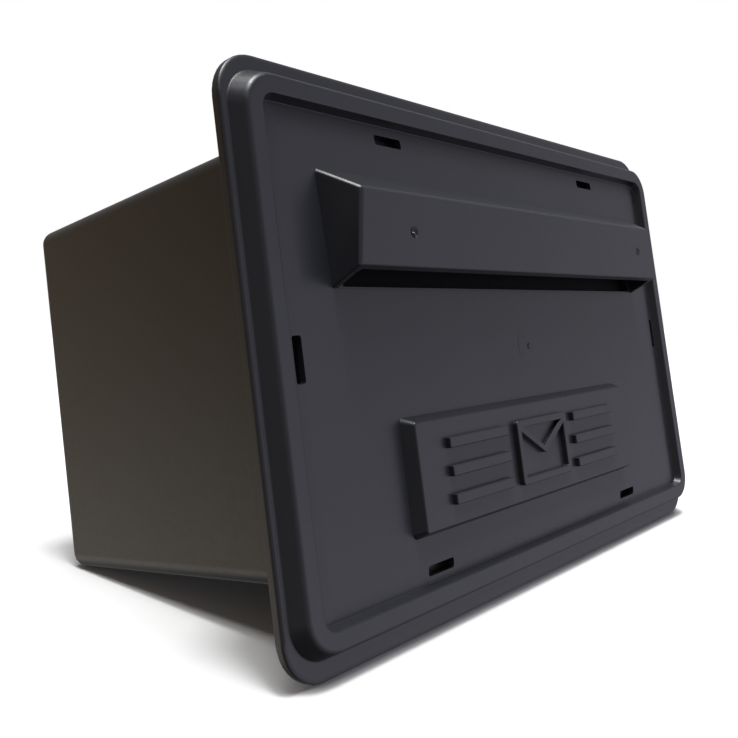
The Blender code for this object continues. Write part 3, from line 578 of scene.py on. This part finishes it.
def envelope():
    """The generic envelope sign: a rounded frame with the two folds of its flap."""
    half_x, half_z = SIGN_HALF
    inside = shrunk(SIGN_HALF, SIGN_LINE)
    path = [station(SIGN_HALF, RELIEF_ROOT, 1.5, PLAQUE_CENTRE),
            station(SIGN_HALF, RELIEF_FRONT, 1.5, PLAQUE_CENTRE),
            station(inside, RELIEF_FRONT, 0.6, PLAQUE_CENTRE),
            station(inside, RELIEF_ROOT, 0.6, PLAQUE_CENTRE)]
    sign = loft("envelope", frame_loops(path, [0.4, 0.4], 3, 4), caps=False)
    x, z = PLAQUE_CENTRE
    for side in (-1, 1):
        top = (x + side * (half_x - SIGN_LINE / 2), z + half_z - SIGN_LINE * 0.8)
        low = (x - side * SIGN_LINE * 0.25, z - 1.0)
        fuse(sign, stroke(top, low, SIGN_LINE * 0.8))
    return sign


def bars():
    """Three plain bars on each side of the envelope."""
    x, z = PLAQUE_CENTRE
    return [stroke((x + side * BAR_OUT - BAR_HALF, z + row * BAR_PITCH),
                   (x + side * BAR_OUT + BAR_HALF, z + row * BAR_PITCH), BAR_WIDTH)
            for side in (-1, 1) for row in (-1, 0, 1)]


def at_window(place, long_half, out_range, y_range):
    """A block beside a window, from out_range[0] to out_range[1] outside the window's middle."""
    x, z, out_x, out_z = place
    if out_x:
        xs = sorted((x + out_x * out_range[0], x + out_x * out_range[1]))
        return box("window", (xs[0], y_range[0], z - long_half), (xs[1], y_range[1], z + long_half))
    zs = sorted((z + out_z * out_range[0], z + out_z * out_range[1]))
    return box("window", (x - long_half, y_range[0], zs[0]), (x + long_half, y_range[1], zs[1]))


def window_cutter(place):
    x, z, out_x, out_z = place
    half_x, half_z = reversed(WINDOW_HALF) if out_x else WINDOW_HALF
    return loft("window", [rounded_rect(half_x, half_z, 0.7, y, (x, z), 4)
                           for y in (PANEL_FRONT - PAST, PANEL_BACK + PAST)])


def snap_hook(place):
    """A finger behind the panel, with a barb that grips the back of the box's flange."""
    finger = rounded(at_window(place, HOOK_HALF, HOOK_OUT, (PANEL_BACK - ROOT, HOOK_END)), 0.25, 2)
    fuse(finger, rounded(at_window(place, BARB_HALF, BARB_OUT, BARB_Y), 0.35, 2))
    return finger


def flap_lug(side):
    """An ear behind the panel that holds one end of the flap's rod."""
    xs = sorted(side * x for x in FLAP_LUG_X)
    root_y = PANEL_BACK - ROOT
    nose = arc(FLAP_ROD, LUG_RADIUS, range(90, -46, -15))
    outline = [(root_y, FLAP_ROD[1] + LUG_RADIUS)] + nose + [(root_y, FLAP_LUG_LOW_Z)]
    lug = sweep_x("lug", outline, xs)
    cut(lug, bore_x(FLAP_ROD, ROD_BORE, xs))
    return lug


def moulding_marks(plate):
    """The injection gate, a disc a hair above the panel with its sprue, and two dots on the hood."""
    fuse(plate, turned_y("gate", GATE_MARK, [(6.8, PANEL_FRONT - 0.12), (7.0, PANEL_FRONT),
                                             (7.0, PANEL_FRONT + 0.5)]))
    fuse(plate, turned_y("sprue", GATE_MARK, [(0.8, PANEL_FRONT - 0.45), (1.2, PANEL_FRONT - 0.1),
                                              (1.2, PANEL_FRONT + 0.6)], 20))
    for x, z in HOOD_MARKS:
        cut(plate, turned_y("sink", (x, z), [(1.7, -15.4), (1.7, -14.2), (0.6, -13.3)], 20))
        fuse(plate, turned_y("pip", (x, z - 0.5), [(0.35, -14.5), (0.8, -14.0), (0.8, -13.2)], 16))


def letter_plate():
    plate = plate_skin()
    fuse(plate, hood_solid())
    cut(plate, hood_hollow(), slot_cutter())
    fuse(plate, plaque_solid())
    cut(plate, plaque_hollow())
    fuse(plate, envelope(), *bars())
    for place in WINDOWS:
        cut(plate, window_cutter(place))
        fuse(plate, snap_hook(place))
    fuse(plate, flap_lug(-1), flap_lug(1))
    moulding_marks(plate)
    return piece(plate, BLACK, "shell", ["front_plate"])


# ---- letter box --------------------------------------------------------------------------------
def box_half(y, inset):
    """Half width and half height of the drafted walls at depth y."""
    return shrunk(BOX_HALF, inset + (y - BOX_FRONT) * BOX_DRAFT)


def box_skin():
    """Inner walls, flange, outer walls and rounded back, as one skin."""
    inner_back = BOX_BACK - BOX_WALL
    lip_y, front_y = BOX_FLANGE_Y
    in_back, out_back = box_half(inner_back, BOX_WALL), box_half(BOX_BACK, 0.0)
    path = [
        station(shrunk(in_back, 2.2), inner_back, 0.3, BOX_CENTRE),
        station(in_back, inner_back, BOX_CORNERS[0], BOX_CENTRE),
        station(box_half(lip_y, BOX_WALL), lip_y, BOX_CORNERS[0], BOX_CENTRE),
        station(BOX_FLANGE_HALF, lip_y, BOX_FLANGE_CORNER, RIM_CENTRE),
        station(BOX_FLANGE_HALF, front_y, BOX_FLANGE_CORNER, RIM_CENTRE),
        station(box_half(front_y, 0.0), front_y, BOX_CORNERS[1], BOX_CENTRE),
        station(out_back, BOX_BACK, BOX_CORNERS[1], BOX_CENTRE),
        station(shrunk(out_back, 4.6), BOX_BACK, 0.4, BOX_CENTRE)]
    radii = [BOX_EDGES[0], 0.5, 0.3, 0.3, 0.8, BOX_EDGES[1]]
    return loft("letter_box", frame_loops(path, radii, 8, 10))


def opening_cutter():
    return loft("opening", [rounded_rect(*OPENING_HALF, OPENING_CORNER, y, DOOR_CENTRE)
                            for y in (BOX_BACK - BOX_WALL - PAST, BOX_BACK + PAST)])


def door_lug(edges):
    """An ear on the box's back that holds one end of a hinge pin."""
    xs = sorted(edges)
    y, z = DOOR_PIN
    nose = arc(DOOR_PIN, LUG_RADIUS, range(-90, 91, 15))
    outline = [(DOOR_LUG_ROOT_Y, z - LUG_RADIUS)] + nose + [(DOOR_LUG_ROOT_Y, z + LUG_RADIUS)]
    lug = sweep_x("lug", outline, xs)
    rounded(lug, 0.3, 2, lambda a, b: across_x(a, b) and max(a.y, b.y) > y - 1.5)
    cut(lug, bore_x(DOOR_PIN, PIN_BORE, xs))
    return lug


def letter_box():
    body = box_skin()
    cut(body, opening_cutter())
    flange_cut = (BOX_FLANGE_Y[0] - PAST, BOX_FLANGE_Y[1] + 0.5)
    pocket_half, pocket_out = POCKET_HALF
    for place in WINDOWS:
        reach = CATCH_OUT[1] if place[2] else CATCH_OUT[0]
        cut(body, at_window(place, CATCH_HALF, (CATCH_IN, reach), flange_cut),
            at_window(place, pocket_half, (-pocket_out, pocket_out), (flange_cut[0], POCKET_Y)))
    for side in (-1, 1):
        for way in (-1, 1):
            edge = side * HINGE_X + way * DOOR_LUG_INNER
            fuse(body, door_lug((edge, edge + way * DOOR_LUG_WIDTH)))
    return piece(body, BOX_BLACK, "shell", ["box_body"])


# ---- mail flap ---------------------------------------------------------------------------------
def mail_flap():
    low, high = FLAP_Z
    flap = rounded(box("mail_flap_leaf", (-FLAP_HALF, FLAP_Y[0], low), (FLAP_HALF, FLAP_Y[1], high)), 0.3, 2)
    for side in (-1, 1):
        x = side * NOTCH_X
        cut(flap, box("notch", (x - NOTCH_HALF, FLAP_Y[0] - PAST, NOTCH_Z[0]),
                      (x + NOTCH_HALF, FLAP_Y[1] + PAST, NOTCH_Z[1])))
    for span in BARREL_SPANS:
        fuse(flap, rounded(rod_x("barrel", FLAP_ROD, BARREL_RADIUS, span), 0.25, 2, across_x))
    lip_half = FLAP_HALF - 1.0
    lip = box("lip", (-lip_half, FLAP_Y[1] - 0.4, low), (lip_half, FLAP_LIP_Y, FLAP_LIP_Z))
    fuse(flap, rounded(lip, 0.25, 2))
    cut(flap, bore_x(FLAP_ROD, ROD_BORE, (-FLAP_HALF, FLAP_HALF)))
    # the flap is coloured with painted shade: a black darker than the plate's, standing in for the shade
    # behind the slot
    return piece(flap, FLAP_SHADE_BLACK, "flap", ["mail_flap"])


# ---- rear door and latch -----------------------------------------------------------------------
def door_panel():
    front, back = DOOR_Y
    middle = shrunk(DOOR_HALF, 10.0)
    path = [station(middle, front, 2.0, DOOR_CENTRE),
            station(DOOR_HALF, front, DOOR_CORNER, DOOR_CENTRE),
            station(DOOR_HALF, back, DOOR_CORNER, DOOR_CENTRE),
            station(middle, back, 2.0, DOOR_CENTRE)]
    return loft("rear_door_panel", frame_loops(path, [0.3, 0.8], 5, 8))


def door_lip():
    """The raised frame on the door's inner face that keeps it centred in the opening."""
    root, end = DOOR_Y[0] + 0.5, DOOR_Y[0] - DOOR_LIP_REACH
    inside = shrunk(DOOR_LIP_HALF, DOOR_LIP_WIDTH)
    inside_corner = DOOR_LIP_CORNER - DOOR_LIP_WIDTH
    path = [station(DOOR_LIP_HALF, root, DOOR_LIP_CORNER, DOOR_CENTRE),
            station(DOOR_LIP_HALF, end, DOOR_LIP_CORNER, DOOR_CENTRE),
            station(inside, end, inside_corner, DOOR_CENTRE),
            station(inside, root, inside_corner, DOOR_CENTRE)]
    return loft("lip", frame_loops(path, [0.3, 0.3], 3, 6), caps=False)


def rear_door():
    door = door_panel()
    fuse(door, door_lip())
    for side in (-1, 1):
        xs = (side * HINGE_X - KNUCKLE_HALF, side * HINGE_X + KNUCKLE_HALF)
        fuse(door, box("web", (xs[0], WEB_Y[0], WEB_LOW_Z), (xs[1], WEB_Y[1], DOOR_PIN[1])))
        fuse(door, rod_x("knuckle", DOOR_PIN, LUG_RADIUS, xs))
        cut(door, bore_x(DOOR_PIN, PIN_BORE, xs))
    hole = [(LATCH_HOLE, DOOR_Y[0] - PAST), (LATCH_HOLE, DOOR_Y[1] + PAST)]
    cut(door, turned_y("hole", LATCH_CENTRE, hole))
    return piece(door, BOX_BLACK, "door", ["rear_door"])


def latch_grip():
    """The bar across the knob that the fingers turn."""
    path = [station((10.0, 2.8), GRIP_ROOT_Y, 2.6, LATCH_CENTRE),
            station((9.4, 2.3), GRIP_END_Y, 2.2, LATCH_CENTRE),
            station((5.0, 0.6), GRIP_END_Y, 0.5, LATCH_CENTRE)]
    return loft("grip", frame_loops(path, [0.6], 4, 6))


def latch_knob():
    front, back = KNOB_Y
    knob = turned_y("latch_knob_turned", LATCH_CENTRE, [
        (KNOB_RADIUS - 0.6, front), (KNOB_RADIUS, front + 0.4), (KNOB_RADIUS, back - 0.8),
        (KNOB_RADIUS - 0.2, back - 0.3), (KNOB_RADIUS - 0.7, back)], 64)
    fuse(knob, latch_grip())
    shaft = [(SHAFT_RADIUS, SHAFT_END_Y), (SHAFT_RADIUS, GRIP_ROOT_Y)]
    fuse(knob, turned_y("shaft", LATCH_CENTRE, shaft, 32))
    x, z = LATCH_CENTRE
    fuse(knob, box("square", (x - SQUARE_HALF, SQUARE_Y[0], z - SQUARE_HALF),
                   (x + SQUARE_HALF, SQUARE_Y[1], z + SQUARE_HALF)))
    cut(knob, turned_y("bore", LATCH_CENTRE, [(SCREW_BORE, y) for y in SCREW_BORE_Y], 24))
    return piece(knob, BLACK, "latch", ["latch_knob"])


letter_plate()
letter_box()
mail_flap()
rear_door()
latch_knob()

# the pieces that are shown as they are in the CAD, in a finish of their own
FINISHES = {
    "flap_rod": STEEL, "rod_cap_left": STEEL, "rod_cap_right": STEEL,
    "flap_spring_left": SPRING, "flap_spring_right": SPRING,
    "door_pin_left": STEEL, "door_pin_right": STEEL, "pin_clip_left": STEEL, "pin_clip_right": STEEL,
    "latch_cam": STEEL, "latch_washer": STEEL, "latch_screw": STEEL, "latch_spring_washer": SPRING,
}
for node_name, material in FINISHES.items():
    for material_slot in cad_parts[node_name].material_slots:
        material_slot.material = material


# ---- floor, light and camera -------------------------------------------------------------------
FLOOR_HALF = 2.2                    # metres
FLOOR_GAP = 0.05

AMBIENT = (0.055, 0.055, 0.058)
LOBES = (                           # direction of the light's source, sharpness and colour
    ((0.46, -0.84, -0.32), 3.0, (0.95, 0.94, 1.08)),    # main light on the plate: front right, low
    ((-0.80, -0.60, -0.10), 6.0, (0.24, 0.24, 0.25)),   # faint fill from the front left
    ((-0.62, 0.78, 0.06), 4.0, (0.21, 0.11, 0.00)),     # warm tint on the box, from the back left
    ((-0.52, 0.76, -0.38), 14.0, (1.10, 1.10, 1.05)),   # light patch low on the box's side
    ((0.45, 0.87, 0.20), 3.0, (0.36, 0.36, 0.38)),      # slopes that face up: from the back right
    ((0.76, 0.10, 0.62), 10.0, (0.38, 0.38, 0.41)),     # line of light on the hood's top edge
)
SUN_HEADING = (0.05, 0.26, -0.96)
SUNS = (("overhead", 2.4, 38.0), ("overhead_core", 1.4, 9.0))   # energy and angle

CAMERA_PLACE = (-0.2643, -0.1559, -0.0101)      # metres from the plate's datum
CAMERA_RIGHT = (0.65527, -0.74529, -0.12315)
CAMERA_UP = (0.03412, -0.13366, 0.99044)
CAMERA_BACK = (-0.75462, -0.65321, -0.06215)


def floor():
    """A pale floor that touches the flange's lower edge and the box's lower back edge."""
    front_edge, back_edge = Vector((2.5, -79.5)), Vector((123.5, -54.51))
    front_radius, back_radius = 0.5, BOX_EDGES[1]
    reach = back_edge - front_edge
    slope = math.atan2(reach.y, reach.x) - math.asin((back_radius - front_radius) / reach.length)
    touch = front_edge + Vector((math.sin(slope), -math.cos(slope))) * front_radius
    plane = link("floor", bpy.data.meshes.new("floor"))
    bm = bmesh.new()
    corners = [bm.verts.new((sx * FLOOR_HALF, sy * FLOOR_HALF, 0.0))
               for sx, sy in ((-1, -1), (1, -1), (1, 1), (-1, 1))]
    bm.faces.new(corners)
    bm.to_mesh(plane.data)
    bm.free()
    plane.location = (0.0, touch.x * MM + DATUM_Y, (touch.y - FLOOR_GAP) * MM)
    plane.rotation_euler = (slope, 0.0, 0.0)
    n = Nodes("floor_paper")
    paper = n.blend(n.noise(6.0, 2.0), (0.93, 0.93, 0.93), (0.96, 0.96, 0.96))
    plane.data.materials.append(n.base(paper, n.ramp(n.noise(40.0), 0.75, 0.85)))
    plane.visible_diffuse = False
    plane.visible_glossy = False
    return plane


class Surroundings:
    """A world made of soft lobes of light, each round a direction, over a dim even room."""

    def __init__(self, ambient):
        world = bpy.data.worlds.new("studio")
        bpy.context.scene.world = world
        world.use_nodes = True
        self.tree = world.node_tree
        self.background = self.tree.nodes["Background"]
        self.direction = self.tree.nodes.new("ShaderNodeTexCoord").outputs["Generated"]
        self.total = ambient

    def compute(self, kind, operation, inputs, out):
        """A math node whose inputs are other nodes' outputs or plain values."""
        node = self.tree.nodes.new(kind)
        node.operation = operation
        for key, value in inputs.items():
            if isinstance(value, bpy.types.NodeSocket):
                self.tree.links.new(value, node.inputs[key])
            else:
                node.inputs[key].default_value = value
        return node.outputs[out]

    def vector(self, operation, inputs, out="Vector"):
        return self.compute("ShaderNodeVectorMath", operation, inputs, out)

    def number(self, operation, inputs):
        return self.compute("ShaderNodeMath", operation, inputs, "Value")

    def lobe(self, towards, sharpness, colour):
        axis = Vector(towards).normalized()
        facing = self.vector("DOT_PRODUCT", {0: self.direction, 1: axis}, "Value")
        facing = self.number("MAXIMUM", {0: facing, 1: 0.0})
        strength = self.number("POWER", {0: facing, 1: sharpness})
        glow = self.vector("SCALE", {0: colour, "Scale": strength})
        self.total = self.vector("ADD", {0: self.total, 1: glow})

    def finish(self):
        """The lobes light the object, and the camera sees a plain white backdrop."""
        self.tree.links.new(self.total, self.background.inputs["Color"])
        backdrop = self.tree.nodes.new("ShaderNodeBackground")
        backdrop.inputs["Color"].default_value = (1.0, 1.0, 1.0, 1.0)
        rays = self.tree.nodes.new("ShaderNodeLightPath")
        mix = self.tree.nodes.new("ShaderNodeMixShader")
        self.tree.links.new(rays.outputs["Is Camera Ray"], mix.inputs["Fac"])
        self.tree.links.new(self.background.outputs["Background"], mix.inputs[1])
        self.tree.links.new(backdrop.outputs["Background"], mix.inputs[2])
        self.tree.links.new(mix.outputs["Shader"], self.tree.nodes["World Output"].inputs["Surface"])


def studio():
    """Soft light from all round, and from above a wide sun with a narrow one in its middle."""
    room = Surroundings(AMBIENT)
    for towards, sharpness, colour in LOBES:
        room.lobe(towards, sharpness, colour)
    room.finish()
    for name, energy, spread in SUNS:
        sun = link(name, bpy.data.lights.new(name, "SUN"))
        sun.data.energy = energy
        sun.data.angle = math.radians(spread)
        sun.rotation_euler = Vector(SUN_HEADING).to_track_quat("-Z", "Y").to_euler()


def camera():
    """The photo's viewpoint, fitted to the edges of the plate and the box."""
    data = bpy.data.cameras.new("camera")
    data.sensor_width = 36.0
    data.lens = 41.99
    data.shift_x = 0.0132
    data.shift_y = -0.0408
    data.clip_start = 0.01
    cam = link("camera", data)
    turn = Matrix((CAMERA_RIGHT, CAMERA_UP, CAMERA_BACK)).transposed()
    place = Vector(CAMERA_PLACE) + Vector((0.0, DATUM_Y, 0.0))
    cam.matrix_world = Matrix.Translation(place) @ turn.to_4x4()
    bpy.context.scene.camera = cam


floor()
studio()
camera()
bpy.context.scene.view_settings.view_transform = "Standard"
